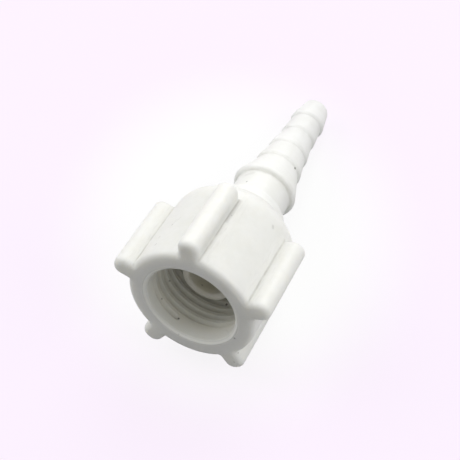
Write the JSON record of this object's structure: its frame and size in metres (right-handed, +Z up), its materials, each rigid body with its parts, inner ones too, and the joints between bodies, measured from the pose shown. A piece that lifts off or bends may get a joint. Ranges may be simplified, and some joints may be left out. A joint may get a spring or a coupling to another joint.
{
  "type": "swivel hose adapter",
  "caption": "Winged threaded swivel nut that turns freely on a stepped barbed nipple, to join push-on tubing to a threaded gas or water outlet.",
  "frame": {"origin": "on the floor, under the middle of the adapter's box, as it lies at rest", "axes": "+Z up, +Y from the nut's mouth towards the barbed tip, +X across; the common axis dips 13.16 degrees towards the tip"},
  "size_m": [0.0234, 0.0488, 0.0246],
  "materials": {
    "nut_plastic": "near-white moulded plastic with a soft waxy gloss",
    "nipple_plastic": "near-white moulded plastic with a soft waxy gloss"
  },
  "bodies": {
    "nut": {"swivel_nut": "nut_plastic"},
    "nipple": {"hose_nipple": "nipple_plastic"}
  },
  "joints": [
    {"name": "nut_swivel", "type": "hinge", "parent": "nut", "child": "nipple", "pos_m": [0, -0.00505, 0.00883], "axis": [0, 0.9737, -0.2277], "continuous": true}
  ]
}
